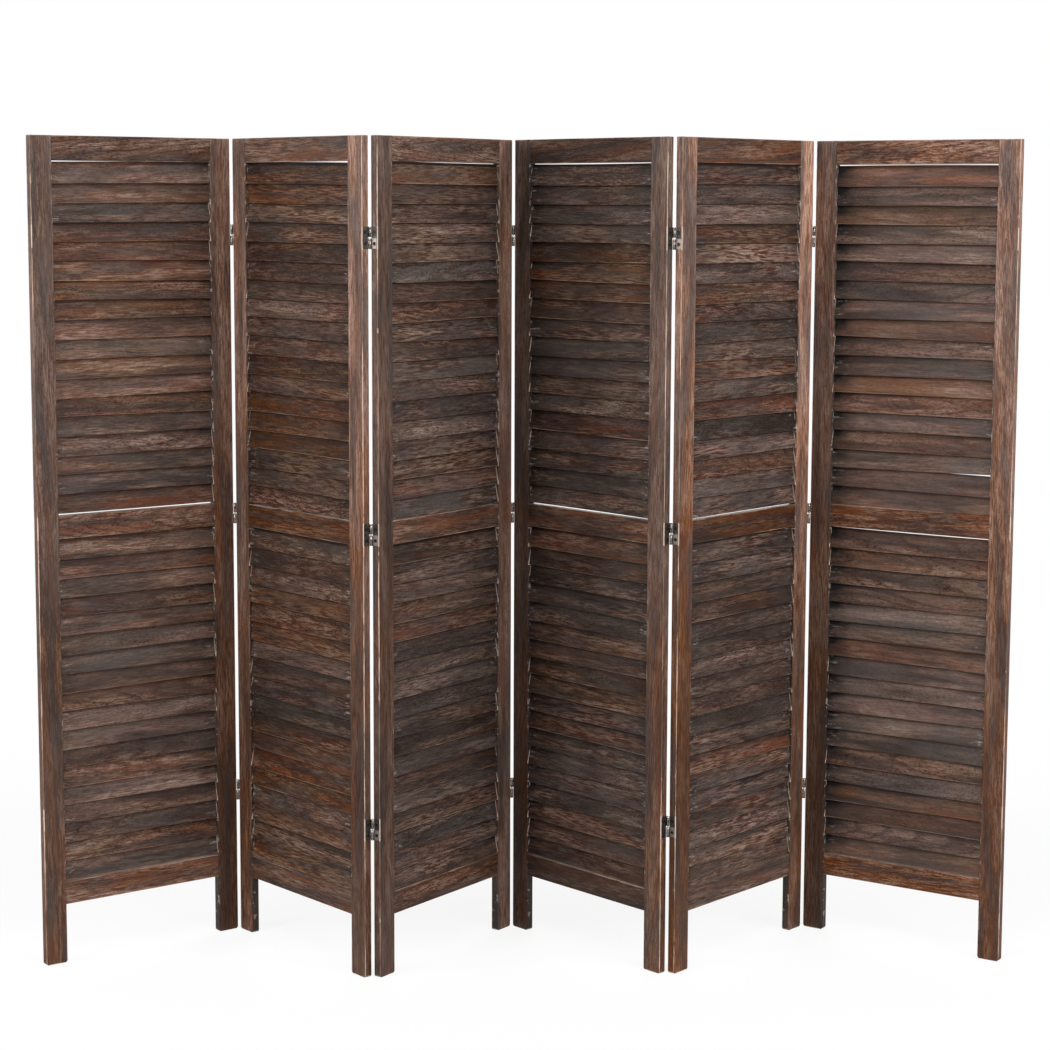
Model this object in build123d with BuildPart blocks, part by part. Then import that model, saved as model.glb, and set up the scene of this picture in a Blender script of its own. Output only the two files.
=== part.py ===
from build123d import *
from math import asin, cos, degrees, pi, sin
import os

# Folding room divider screen: six louvred wooden panels joined edge to edge by loose-joint hinges,
# standing in the zigzag that keeps it upright. Lengths are in millimetres and angles in degrees.
# The origin is on the floor, at the middle of the plan, with +X along the screen and +Y to its back.

# One panel: two stiles that run down as legs, with three rails between them.
panel_height = 1700.0
panel_width = 460.0
stile_width = 48.0
stile_thickness = 16.0
leg_height = 123.0
top_rail_width = 50.0
middle_rail_width = 48.0
bottom_rail_width = 48.0
rail_setback = 0.5
arris = 1.0
foot_bevel = 4.0

# Tenons on the rails and the mortises that take them.
tenon_thickness = 6.0
tenon_length = 24.0
tenon_shoulder = 6.0
tenon_fit = 0.1
mortise_relief = 1.0

# Fixed slats, with the lower edge forward, housed in slanted slots in the stiles.
slat_count = 18
slat_thickness = 5.0
slat_air = 1.85
slat_overlap = 1.6
slit_above = 2.2
slit_below = 3.5
housing_depth = 8.0
housing_fit = 0.1
housing_relief = 0.5

# Loose-joint hinges on the stile edges. The lower knuckle holds the pin and the upper one drops on it.
# There are so many that knuckles and pins have flats in place of a round section.
hinge_height = 44.0
knuckle_radius = 3.0
knuckle_flats = 10
knuckle_gap = 3.0
leaf_thickness = 1.2
leaf_margin = 1.5
leaf_relief = 0.5
pin_radius = 1.6
pin_clearance = 0.05
pin_tip_drop = 2.0
bottom_hinge_rise = 308.0
top_hinge_drop = 200.0
folded_gap = 1.8

# How the screen stands: the first panel's turn, then how far each joint is folded from a flat wall.
first_panel_turn = 37.7
fold_1_2 = 88.0
fold_2_3 = 105.5
fold_3_4 = 104.0
fold_4_5 = 98.5
fold_5_6 = 84.0

# Panel layout. Each panel has its own frame: X across from its middle, Y from front to back, Z up.
half_width = panel_width / 2
half_thickness = stile_thickness / 2
inner_edge = half_width - stile_width
clear_width = 2 * inner_edge
rail_thickness = stile_thickness - 2 * rail_setback
rail_widths = top_rail_width + middle_rail_width + bottom_rail_width
opening = (panel_height - leg_height - rail_widths) / 2
lower_opening_base = leg_height + bottom_rail_width
middle_rail_base = lower_opening_base + opening
upper_opening_base = middle_rail_base + middle_rail_width
top_rail_base = upper_opening_base + opening
rails = {
    "top_rail": (top_rail_base, top_rail_width),
    "middle_rail": (middle_rail_base, middle_rail_width),
    "bottom_rail": (leg_height, bottom_rail_width),
}

# The slats share each opening evenly, and lean back just enough to pass each other with air between.
slat_pitch = (opening - slit_above - slit_below - slat_overlap) / slat_count
slat_lean = asin((slat_thickness + slat_air) / slat_pitch)
slat_rise = slat_pitch + slat_overlap
slat_width = (slat_rise - slat_thickness * sin(slat_lean)) / cos(slat_lean)
slat_length = clear_width + 2 * (housing_depth - housing_relief)
slat_row_middle = (opening + slit_below - slit_above) / 2
slat_rows = {
    "upper_slats": upper_opening_base + slat_row_middle,
    "lower_slats": lower_opening_base + slat_row_middle,
}

# Hinge axes stand off the edge by the knuckle's radius, and off the face by half the folded gap. A socket's
# flats clear the pin's corners, so that it turns freely.
axis_x = half_width + knuckle_radius
axis_y = half_thickness + folded_gap / 2
leaf_reach = axis_y + half_thickness - leaf_margin
socket_radius = (pin_radius + pin_clearance) / cos(pi / knuckle_flats)
knuckle_length = (hinge_height - knuckle_gap) / 2
hinge_centres = (
    bottom_hinge_rise,
    middle_rail_base + middle_rail_width / 2,
    panel_height - top_hinge_drop,
)


# Right-hand stile, with its mortises and slat housings cut in from the inner edge.
with BuildPart() as right_stile:
    with BuildSketch(Plane.XY) as stile_section:
        with Locations((half_width - stile_width / 2, 0)):
            Rectangle(stile_width, stile_thickness)
        chamfer(stile_section.vertices(), arris)
    extrude(amount=panel_height)
    foot = right_stile.faces().sort_by(Axis.Z)[0]
    foot_corners = foot.edges().filter_by(Axis.Y)
    chamfer(foot_corners, foot_bevel)
    top_end = right_stile.faces().sort_by(Axis.Z)[-1]
    chamfer(top_end.edges(), arris)
    with BuildSketch(Plane.YZ.offset(inner_edge)):
        for base, width in rails.values():
            with Locations((0, base + width / 2)):
                Rectangle(tenon_thickness + tenon_fit, width - 2 * tenon_shoulder + tenon_fit)
    extrude(amount=tenon_length + mortise_relief, mode=Mode.SUBTRACT)
    with BuildSketch(Plane.YZ.offset(inner_edge)):
        for row_middle in slat_rows.values():
            with Locations((0, row_middle)), GridLocations(0, slat_pitch, 1, slat_count):
                Rectangle(
                    slat_thickness + 2 * housing_fit,
                    slat_width + 2 * housing_fit,
                    rotation=-degrees(slat_lean),
                )
    extrude(amount=housing_depth, mode=Mode.SUBTRACT)

# Left-hand stile, the mirror image.
with BuildPart() as left_stile:
    mirror(right_stile.part, about=Plane.YZ)


# A rail stands between two heights, with a tenon running out of both ends.
def make_rail(base, width):
    middle = base + width / 2
    with BuildPart() as rail:
        with BuildSketch(Plane.YZ.offset(-inner_edge)) as rail_section:
            with Locations((0, middle)):
                Rectangle(rail_thickness, width)
            chamfer(rail_section.vertices(), arris)
        extrude(amount=clear_width)
        with BuildSketch(Plane.YZ.offset(-inner_edge - tenon_length)):
            with Locations((0, middle)):
                Rectangle(tenon_thickness, width - 2 * tenon_shoulder)
        extrude(amount=clear_width + 2 * tenon_length)
    return rail


# One row of slats, all alike, leaning back from their lower edges.
def make_slats(row_middle):
    with BuildPart() as slats:
        with BuildSketch(Plane.YZ.offset(-slat_length / 2)):
            with Locations((0, row_middle)), GridLocations(0, slat_pitch, 1, slat_count):
                Rectangle(slat_thickness, slat_width, rotation=-degrees(slat_lean))
        extrude(amount=slat_length)
    return slats


# The leaves on one edge, with their knuckles at the panel's front. Side is 1 for the right-hand edge and
# -1 for the left. A leaf covers its hinge's whole height and keeps clear of the other leaf's knuckle.
def make_leaves(side, knuckle_on_top, bore_radius):
    leaf_x = side * (half_width + leaf_thickness / 2)
    bare_length = hinge_height - knuckle_length
    cut_back = knuckle_radius + leaf_relief
    with BuildPart() as leaves:
        for centre in hinge_centres:
            hinge_base = centre - hinge_height / 2
            knuckle_base = hinge_base + (bare_length if knuckle_on_top else 0)
            bare_base = hinge_base + (0 if knuckle_on_top else knuckle_length)
            with BuildSketch(Plane.XY.offset(knuckle_base)):
                with Locations((leaf_x, leaf_reach / 2 - axis_y)):
                    Rectangle(leaf_thickness, leaf_reach)
                with Locations((side * axis_x, -axis_y)):
                    RegularPolygon(knuckle_radius, knuckle_flats)
                    RegularPolygon(bore_radius, knuckle_flats, mode=Mode.SUBTRACT)
            extrude(amount=knuckle_length)
            with BuildSketch(Plane.XY.offset(bare_base)):
                with Locations((leaf_x, (leaf_reach + cut_back) / 2 - axis_y)):
                    Rectangle(leaf_thickness, leaf_reach - cut_back)
            extrude(amount=bare_length)
    return leaves


# The pins stand in the lower knuckles on the right-hand edge and end inside the upper ones.
with BuildPart() as edge_pins:
    for centre in hinge_centres:
        with BuildSketch(Plane.XY.offset(centre - hinge_height / 2)):
            with Locations((axis_x, -axis_y)):
                RegularPolygon(pin_radius, knuckle_flats)
        extrude(amount=hinge_height - pin_tip_drop)

pin_leaves = make_leaves(1, False, pin_radius)
socket_leaves = make_leaves(-1, True, socket_radius)

# Every panel has the same woodwork. Odd panels carry the pins and even ones drop on them. Turned half
# round, the leaves of one edge fit the other edge, where the knuckles are at the back.
woodwork = {"left_stile": left_stile, "right_stile": right_stile}
for rail_name, (rail_base, rail_width) in rails.items():
    woodwork[rail_name] = make_rail(rail_base, rail_width)
for row_name, row_height in slat_rows.items():
    woodwork[row_name] = make_slats(row_height)
odd_hardware = {"hinge_leaves": pin_leaves, "hinge_pins": edge_pins}
even_hardware = {"hinge_leaves": socket_leaves}

# Each panel's frame follows from the one before it, about the hinge axis that they share. The folds close
# at the front and at the back by turns.
folds = (fold_1_2, fold_2_3, fold_3_4, fold_4_5, fold_5_6)
frames = [Location((0, 0, 0), (0, 0, first_panel_turn))]
for index, fold in enumerate(folds):
    closes_at_front = index % 2 == 0
    axis_depth = -axis_y if closes_at_front else axis_y
    turn = -fold if closes_at_front else fold
    to_axis = Location((axis_x, axis_depth, 0), (0, 0, turn))
    frames.append(frames[-1] * to_axis * Location((axis_x, -axis_depth, 0)))

# The plan's middle is taken from the stiles, which reach furthest each way.
corners = []
for frame in frames:
    for stile in (left_stile, right_stile):
        corners += stile.part.moved(frame).vertices()
xs = [corner.X for corner in corners]
ys = [corner.Y for corner in corners]
to_middle = Location((-(min(xs) + max(xs)) / 2, -(min(ys) + max(ys)) / 2, 0))

os.makedirs("parts", exist_ok=True)
for number, frame in enumerate(frames, start=1):
    hardware = odd_hardware if number % 2 else even_hardware
    hinged_edges = 1 if number in (1, len(frames)) else 2
    for piece_name, piece in (woodwork | hardware).items():
        turns = hinged_edges if piece_name in hardware else 1
        with BuildPart() as placed:
            with Locations(to_middle * frame), PolarLocations(0, turns):
                add(piece.part)
        node_name = f"panel_{number}_{piece_name}"
        placed.part.label = node_name
        export_step(placed.part, f"parts/{node_name}.step")
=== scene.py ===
from functools import partial
from math import asin, cos, pi, radians, sin

import bmesh
import bpy
from mathutils import Matrix, Vector


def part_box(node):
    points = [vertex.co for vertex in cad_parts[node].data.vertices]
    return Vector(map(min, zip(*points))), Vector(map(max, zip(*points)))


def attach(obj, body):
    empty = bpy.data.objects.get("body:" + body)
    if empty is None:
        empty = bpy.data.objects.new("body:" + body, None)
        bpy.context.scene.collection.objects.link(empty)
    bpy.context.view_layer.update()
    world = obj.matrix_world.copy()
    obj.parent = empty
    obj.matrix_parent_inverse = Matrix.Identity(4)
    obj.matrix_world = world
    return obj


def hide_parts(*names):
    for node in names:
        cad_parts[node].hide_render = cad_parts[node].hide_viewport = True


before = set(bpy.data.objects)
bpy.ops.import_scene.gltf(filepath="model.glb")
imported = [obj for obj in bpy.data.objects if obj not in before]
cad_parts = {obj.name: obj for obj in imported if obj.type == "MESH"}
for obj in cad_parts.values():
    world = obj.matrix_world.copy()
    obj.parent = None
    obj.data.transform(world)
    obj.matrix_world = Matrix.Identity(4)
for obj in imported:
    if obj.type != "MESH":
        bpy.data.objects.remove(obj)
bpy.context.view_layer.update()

# Stiles. Twelve uprights of a light wood, scorched, brushed and stained dark brown, which run down
# as the legs. Each one is a board cut along the grain, with housings for the slats cut into its
# inner edge, and its corners are rubbed back to the paler wood.
first_panel_turn = 37.7  # degrees, seen from above
folds = (88.0, 105.5, 104.0, 98.5, 84.0)  # degrees from a flat wall, closing in front and behind by turns
panel_stands = {}  # middle of each panel on the floor, and its turn
turn = first_panel_turn
for number, fold in enumerate((*folds, 0.0), start=1):
    low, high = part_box(f"panel_{number}_top_rail")
    panel_stands[number] = ((low.x + high.x) / 2, (low.y + high.y) / 2, turn)
    turn += -fold if number % 2 else fold
panel_height = 1.700
panel_edge = 0.230
stile_half_width = 0.024
stile_half_thickness = 0.008
stile_middle = panel_edge - stile_half_width
stile_tones_and_painted_light = {  # left and right stile: tone at foot and head, partly stain and partly painted light from above, richness at the foot, and tone of the leg, painted light from the floor
    1: ((0.62, 0.72, 1.45, 1.1), (0.45, 1.20, 1.55, 0.8)),
    2: ((0.63, 1.48, 1.42, 1.25), (0.43, 1.50, 1.52, 1.0)),
    3: ((0.47, 0.60, 1.30, 0.95), (0.84, 1.42, 1.10, 1.2)),
    4: ((0.43, 0.50, 1.55, 0.95), (0.66, 0.64, 1.40, 1.15)),
    5: ((0.32, 1.62, 1.92, 2.05), (0.48, 2.35, 1.35, 1.6)),
    6: ((0.27, 1.12, 1.56, 1.3), (0.55, 1.48, 1.60, 1.35)),
}
head_richness = 1.12
hinge_heights = (0.308, 0.9105, 1.500)
slat_count = 18
slat_pitch = 0.039344
slat_lean = radians(10.03)
slat_width = 0.0445
slat_rows = {}  # height of the middle of each row
for row_name in ("upper", "lower"):
    low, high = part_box(f"panel_1_{row_name}_slats")
    slat_rows[row_name] = (low.z + high.z) / 2


def put(tree, kind, sockets=None, **settings):
    """Adds a node. Sockets go by name, or by number where several share one. A socket's value is
    another node's output or a plain value."""
    node = tree.nodes.new(kind)
    for name, value in settings.items():
        setattr(node, name, value)
    for name, value in (sockets or {}).items():
        if isinstance(value, bpy.types.NodeSocket):
            tree.links.new(value, node.inputs[name])
        else:
            node.inputs[name].default_value = value
    return node


def reckon(operation, tree, *values, clamp=False):
    node = put(tree, "ShaderNodeMath", dict(enumerate(values)), operation=operation, use_clamp=clamp)
    return node.outputs[0]


times = partial(reckon, "MULTIPLY")
plus = partial(reckon, "ADD")
minus = partial(reckon, "SUBTRACT")
divided = partial(reckon, "DIVIDE")
scaled = partial(reckon, "MULTIPLY_ADD")
larger = partial(reckon, "MAXIMUM")
smaller = partial(reckon, "MINIMUM")
unsigned = partial(reckon, "ABSOLUTE")


def spread(tree, value, low, high, to_low=0.0, to_high=1.0):
    """Leads a value smoothly from one stretch over to another, and holds it at both ends."""
    sockets = {"Value": value, "From Min": low, "From Max": high, "To Min": to_low, "To Max": to_high}
    return put(tree, "ShaderNodeMapRange", sockets, interpolation_type="SMOOTHSTEP").outputs[0]


def blend(tree, share, under, upper, way="MIX"):
    node = put(tree, "ShaderNodeMix", {0: share, 6: under, 7: upper}, data_type="RGBA", blend_type=way)
    return node.outputs[2]


def vector(tree, x=0.0, y=0.0, z=0.0):
    return put(tree, "ShaderNodeCombineXYZ", {0: x, 1: y, 2: z}).outputs[0]


def along_axes(tree, value):
    return put(tree, "ShaderNodeSeparateXYZ", {0: value}).outputs


def cloud(tree, place, stretch, detail=2.0, rough=0.5):
    """Noise stretched along the grain. Stretch is how many lumps there are to a metre each way."""
    stretched = put(tree, "ShaderNodeVectorMath", {0: place, 1: stretch}, operation="MULTIPLY")
    sockets = {"Vector": stretched.outputs[0], "Scale": 1.0, "Detail": detail, "Roughness": rough}
    return put(tree, "ShaderNodeTexNoise", sockets).outputs[0]


def board_draw(tree, seed):
    """Three chance values that belong to one board."""
    return put(tree, "ShaderNodeTexWhiteNoise", {"W": seed}, noise_dimensions="1D").outputs["Color"]


def set_apart(tree, board, draw, reach):
    """Moves every board to a place of its own in the noise, so that no two have the same figure."""
    sockets = {0: draw, 1: reach, 2: board}
    return put(tree, "ShaderNodeVectorMath", sockets, operation="MULTIPLY_ADD").outputs[0]


def begin_group(name, inputs, outputs):
    """Starts a group for the woods. Each one takes a place in the board and the board's seed."""
    tree = bpy.data.node_groups.new(name, "ShaderNodeTree")
    tree.interface.new_socket("Board", in_out="INPUT", socket_type="NodeSocketVector")
    for socket_name in ("Seed", *inputs):
        tree.interface.new_socket(socket_name, in_out="INPUT", socket_type="NodeSocketFloat")
    for socket_name in outputs:
        tree.interface.new_socket(socket_name, in_out="OUTPUT", socket_type="NodeSocketFloat")
    return tree, put(tree, "NodeGroupInput").outputs


# The figure of the wood, in the board's own directions: x along the grain, y across, z through it.
# Growth rings are cut at a slant, so they run as lines on one board and as arches on the next.
grain_group, given = begin_group(
    "wood_grain",
    ("Ring Spacing", "Heart Depth", "Figure", "Slant"),
    ("Rings", "Pores", "Fibre", "Bands", "Smoke", "Rubbed", "Height"),
)
tree = grain_group
draw = board_draw(tree, given["Seed"])
chance = along_axes(tree, draw)
other_chance = along_axes(tree, board_draw(tree, plus(tree, given["Seed"], 0.37)))
figured = times(tree, spread(tree, other_chance[0], 0.25, 0.85), given["Figure"])
plain = along_axes(tree, given["Board"])
# The grain seldom runs quite true to the board.
runout = times(tree, plain[0], scaled(tree, other_chance[1], 0.08, -0.04))
trued = vector(tree, plain[0], plus(tree, plain[1], runout), plain[2])
far_off = set_apart(tree, trued, draw, (40, 40, 40))
sway = scaled(tree, cloud(tree, far_off, (3.4, 12, 12), 1.5), 0.030, -0.015)
ripple = scaled(tree, cloud(tree, far_off, (18, 70, 70), 1.5), 0.0036, -0.0018)
tipped = scaled(tree, chance[2], 2.0, -1.0)
cubed = times(tree, tipped, times(tree, tipped, tipped))
lean = times(tree, plain[0], times(tree, cubed, given["Slant"]))
across = plus(tree, plain[1], scaled(tree, chance[0], 0.04, -0.02))
far_heart = times(tree, given["Heart Depth"], plus(tree, chance[1], 0.10))
deep = plus(tree, far_heart, plain[2])
radius = reckon("SQRT", tree, scaled(tree, across, across, times(tree, deep, deep)))
grown = plus(tree, plus(tree, radius, lean), plus(tree, sway, ripple))
yearly = times(tree, given["Ring Spacing"], scaled(tree, other_chance[2], 0.9, 0.6))
season = reckon("FRACT", tree, divided(tree, grown, yearly))
spring = spread(tree, season, 0.0, 0.34, 1.0, 0.0)
summer = spread(tree, season, 0.88, 1.0)
rings = times(tree, larger(tree, spring, summer), scaled(tree, figured, 0.80, 0.20))
# Strands and pores curl round on a figured board.
curl = scaled(tree, cloud(tree, far_off, (24, 55, 55), 1.5), 0.011, -0.0055)
own_curl = times(tree, curl, scaled(tree, figured, 0.90, 0.10))
curled = put(tree, "ShaderNodeVectorMath", {0: far_off, 1: vector(tree, y=own_curl)}).outputs[0]
dashes = spread(tree, cloud(tree, curled, (130, 400, 400), 2.0, 0.6), 0.51, 0.60)
pricks = spread(tree, cloud(tree, far_off, (150, 1200, 1200), 1.0), 0.56, 0.70)
pitted = larger(tree, dashes, times(tree, pricks, 0.6))
in_spring = scaled(tree, rings, 0.45, scaled(tree, figured, 0.40, 0.36))
pores = times(tree, pitted, in_spring)
combed = times(tree, cloud(tree, curled, (36, 430, 430), 1.0), 0.50)
strands = scaled(tree, cloud(tree, curled, (26, 205, 205), 4.0, 0.75), 0.50, combed)
fibre = spread(tree, strands, 0.42, 0.58)
bands = spread(tree, cloud(tree, far_off, (4.0, 40, 40), 2.0, 0.55), 0.30, 0.70)
smoke = spread(tree, cloud(tree, far_off, (5.5, 17, 17), 2.5, 0.55), 0.40, 0.66)
rubbed = spread(tree, cloud(tree, far_off, (4.5, 46, 46), 2.0), 0.50, 0.68)
height = scaled(tree, pores, -1.0, scaled(tree, rings, -0.35, fibre))
put(tree, "NodeGroupOutput", {
    "Rings": rings, "Pores": pores, "Fibre": fibre, "Bands": bands, "Smoke": smoke, "Rubbed": rubbed,
    "Height": height,
})

# Wear along a corner: the stain is rubbed off in a ragged line, more in some places than others.
arris_group, given = begin_group("worn_arris", ("From Corner", "Reach"), ("Wear", "Chips"))
tree = arris_group
moved = set_apart(tree, given["Board"], board_draw(tree, given["Seed"]), (30, 30, 30))
ragged = cloud(tree, moved, (26, 150, 150), 3.0, 0.6)
patchy = spread(tree, cloud(tree, moved, (5, 20, 20), 2.0), 0.42, 0.62)
reached = times(tree, given["Reach"], scaled(tree, ragged, 2.0, -0.35))
near = minus(tree, 1.0, divided(tree, given["From Corner"], reached), clamp=True)
wear = times(tree, spread(tree, near, 0.0, 0.5), scaled(tree, patchy, 0.88, 0.12))
chipped = spread(tree, cloud(tree, moved, (34, 90, 90), 2.0), 0.66, 0.74)
chips = times(tree, chipped, spread(tree, given["From Corner"], 0.0012, 0.0032, 1.0, 0.0))
put(tree, "NodeGroupOutput", {"Wear": wear, "Chips": chips})

# Grey dust and lime left in the hollows of the grain.
dust_group, given = begin_group("settled_dust", ("Hollows",), ("Dust",))
tree = dust_group
moved = set_apart(tree, given["Board"], board_draw(tree, given["Seed"]), (-30, 30, -30))
film = spread(tree, cloud(tree, moved, (7, 24, 24), 3.0), 0.46, 0.75)
streaks = spread(tree, cloud(tree, moved, (40, 330, 330), 1.0), 0.62, 0.74)
put(tree, "NodeGroupOutput", {"Dust": times(tree, film, larger(tree, given["Hollows"], streaks))})

stain_steps = (  # scorched dark, smoky grey-brown, red-brown and rubbed pale
    (0.0, (0.037, 0.021, 0.015, 1)),
    (0.36, (0.082, 0.050, 0.037, 1)),
    (0.62, (0.130, 0.069, 0.043, 1)),
    (1.0, (0.192, 0.116, 0.083, 1)),
)
strand_drops = (0.49, 0.60, 0.67)  # how much red, green and blue a dark strand loses
strand_gains = (0.38, 0.60, 0.75)  # and how much a light one gains
darkest_strand = 0.05
smoke_grey = (0.092, 0.076, 0.068, 1)
red_stain = (0.150, 0.064, 0.032, 1)
ring_brown = (0.037, 0.018, 0.012, 1)
pore_black = (0.022, 0.010, 0.006, 1)
rubbed_wood = (0.50, 0.34, 0.255, 1)
chipped_wood = (0.50, 0.36, 0.25, 1)
cut_wood = (0.56, 0.43, 0.35, 1)
chalk_white = (0.40, 0.36, 0.33, 1)
dust_grey = (0.34, 0.30, 0.27, 1)
ring_strength = 0.68
pore_strength = 0.85
chip_strength = 0.65
dust_strength = 0.18
relief_depth = 0.0009


def stain_wood(wood, board, corner, seed, tone, richness, shade, warmth, smoke_share, figure, gloss=0.22,
               dullness=0.60, hue=0.494, contrast=1.0, wear=0.50, scuffs=None, raw=None, spacing=0.0064,
               heart=0.07, slant=0.12, arris=0.0030):
    """Lays the finish on a wood material: scorched grain, smoke, rubbed patches, worn corners, dust."""
    tree = wood.node_tree
    of_board = {"Board": board, "Seed": seed}
    of_grain = {"Ring Spacing": spacing, "Heart Depth": heart, "Figure": figure, "Slant": slant}
    of_corner = {"From Corner": corner, "Reach": arris}
    grain = put(tree, "ShaderNodeGroup", of_board | of_grain, node_tree=grain_group).outputs
    worn = put(tree, "ShaderNodeGroup", of_board | of_corner, node_tree=arris_group).outputs
    of_dust = {"Hollows": grain["Pores"]}
    dust = put(tree, "ShaderNodeGroup", of_board | of_dust, node_tree=dust_group).outputs["Dust"]
    ramp = put(tree, "ShaderNodeValToRGB", {0: plus(tree, grain["Bands"], shade)})
    steps = ramp.color_ramp.elements  # with both ends already there
    for spot, colour in stain_steps:
        step = steps.new(spot) if 0.0 < spot < 1.0 else steps[-int(spot)]
        step.color = colour
    dark_strand = [max(darkest_strand, 1 - contrast * drop) for drop in strand_drops]
    light_strand = [1 + contrast * gain for gain in strand_gains]
    strands = blend(tree, grain["Fibre"], (*dark_strand, 1), (*light_strand, 1))
    body = blend(tree, 1.0, ramp.outputs[0], strands, way="MULTIPLY")
    smoky = blend(tree, times(tree, grain["Smoke"], smoke_share), body, smoke_grey)
    warmed = blend(tree, times(tree, grain["Rubbed"], warmth), smoky, red_stain)
    ringed = blend(tree, times(tree, grain["Rings"], ring_strength), warmed, ring_brown)
    pored = blend(tree, times(tree, grain["Pores"], pore_strength), ringed, pore_black)
    toning = {"Hue": hue, "Saturation": richness, "Value": tone, "Color": pored}
    toned = put(tree, "ShaderNodeHueSaturation", toning).outputs[0]
    finish = blend(tree, times(tree, worn["Wear"], wear), toned, rubbed_wood)
    chips = times(tree, times(tree, worn["Chips"], wear), chip_strength)
    finish = blend(tree, chips, finish, chipped_wood)
    if raw is not None:
        finish = blend(tree, raw, finish, cut_wood)
    if scuffs is not None:
        finish = blend(tree, scuffs, finish, chalk_white)
    dusted = blend(tree, times(tree, dust, dust_strength), finish, dust_grey)
    dull = scaled(tree, dust, 0.15, scaled(tree, grain["Pores"], 0.20, dullness))
    of_relief = {"Strength": 0.45, "Distance": relief_depth, "Height": grain["Height"]}
    relief = put(tree, "ShaderNodeBump", of_relief)
    shader = tree.nodes["Principled BSDF"]
    shader.inputs["Specular IOR Level"].default_value = gloss
    tree.links.new(dusted, shader.inputs["Base Color"])
    tree.links.new(dull, shader.inputs["Roughness"])
    tree.links.new(relief.outputs[0], shader.inputs["Normal"])


def panel_place(tree, number):
    """The place of a point in its panel: x across from the middle, y from front to back, z up."""
    x, y, turn = panel_stands[number]
    sockets = {"Vector": put(tree, "ShaderNodeTexCoord").outputs["Object"],
               "Location": (x, y, 0), "Rotation": (0, 0, radians(turn))}
    return along_axes(tree, put(tree, "ShaderNodeMapping", sockets, vector_type="TEXTURE").outputs[0])


def new_finish(name):
    finish = bpy.data.materials.new(name)
    finish.use_nodes = True
    return finish


for number in panel_stands:
    for side, side_name in enumerate(("left", "right")):
        wood = new_finish(f"stile_wood_{number}_{side_name}")
        tree = wood.node_tree
        place = panel_place(tree, number)
        across = minus(tree, place[0], stile_middle if side else -stile_middle)
        board = vector(tree, place[2], across, place[1])
        to_edge = minus(tree, stile_half_width, unsigned(tree, across))
        to_face = minus(tree, stile_half_thickness, unsigned(tree, place[1]))
        to_end = smaller(tree, place[2], minus(tree, panel_height, place[2]))
        nearest = smaller(tree, to_edge, to_face)
        corner = larger(tree, nearest, smaller(tree, larger(tree, to_edge, to_face), to_end))
        # Inside the mortises and housings the wood was never stained.
        pared = spread(tree, smaller(tree, nearest, to_end), 0.0011, 0.0020)
        # The outer corners were pared for the hinges, and the cut shows pale beside each leaf.
        outward = times(tree, across, 1.0 if side else -1.0)
        at_corner = times(tree, spread(tree, corner, 0.0014, 0.0022, 0.8, 0.0),
                          spread(tree, outward, 0.018, 0.020))
        for hinge_height in hinge_heights:
            off_hinge = unsigned(tree, minus(tree, place[2], hinge_height))
            beside_leaf = spread(tree, off_hinge, 0.021, 0.0245, 1.0, 0.0)
            pared = larger(tree, pared, times(tree, beside_leaf, at_corner))
        # The inner edge is painted darker, partly a dark stain and partly painted shade beside the slats.
        # Where the housings were cut wide, a sliver of pale wood shows in front of a slat, and the corner has
        # torn in places.
        to_inside = plus(tree, stile_half_width, outward)
        upper_foot, lower_foot = [middle - slat_pitch * (slat_count - 1) / 2 for middle in slat_rows.values()]
        above = reckon("GREATER_THAN", tree, place[2], hinge_heights[1])
        row_foot = scaled(tree, above, upper_foot - lower_foot, lower_foot - slat_width / 2)
        up_pitch = reckon("FLOORED_MODULO", tree, minus(tree, place[2], row_foot), slat_pitch)
        up_slat = minus(tree, up_pitch, slat_width / 2)
        before_slat = scaled(tree, place[1], -cos(slat_lean), times(tree, up_slat, sin(slat_lean)))
        on_edge = spread(tree, to_inside, 0.0006, 0.0014, 1.0, 0.0)
        cut_wide = times(tree, spread(tree, cloud(tree, board, (21, 21, 21), 3.0, 0.7), 0.47, 0.58),
                         spread(tree, before_slat, 0.0044, 0.0054, 0.75, 0.0))
        in_rows = []
        for middle in slat_rows.values():
            off_middle = unsigned(tree, minus(tree, place[2], middle))
            in_rows.append(reckon("LESS_THAN", tree, off_middle, slat_pitch * slat_count / 2))
        sliver = times(tree, times(tree, cut_wide, on_edge), plus(tree, *in_rows))
        scuffs = times(tree, spread(tree, cloud(tree, board, (60, 60, 60), 2.0, 0.6), 0.60, 0.66),
                       spread(tree, to_inside, 0.0012, 0.0034, 0.45, 0.0))
        # The inner corners stay stained, because the slats keep hands away from them.
        worn_corner = plus(tree, corner, spread(tree, to_inside, 0.003, 0.008, 0.004, 0.0))
        # Each stile's tone runs from foot to head, partly its own stain and partly painted light, paler
        # towards the top where light and sheen fall from above. The leg is painted lighter or darker for the
        # light that the floor throws up.
        at_foot, at_head, foot_richness, painted_leg_light = stile_tones_and_painted_light[number][side]
        stain_and_painted_light_by_height = spread(tree, place[2], 0.0, panel_height, at_foot, at_head)
        # The inner edge is painted darker: partly dark stain, partly painted shade beside the slats.
        inner_edge_stain_and_shade = spread(tree, to_inside, 0.0006, 0.0016, 0.32, 1.0)
        painted_foot_light = spread(tree, place[2], 0.09, 0.26, painted_leg_light, 1.0)
        stain_wood(wood, board, worn_corner, seed=number * 2.0 + side,
                   tone=times(tree, stain_and_painted_light_by_height, times(tree, inner_edge_stain_and_shade, painted_foot_light)),
                   richness=spread(tree, place[2], 0.1, 1.45, foot_richness, head_richness),
                   shade=0.16, warmth=0.35, smoke_share=0.34, figure=0.25, gloss=0.32, dullness=0.50,
                   contrast=0.90, wear=0.95, slant=0.02, scuffs=scuffs, raw=larger(tree, pared, sliver),
                   arris=0.0024)
        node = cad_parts[f"panel_{number}_{side_name}_stile"]
        node.material_slots[0].material = wood

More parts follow.
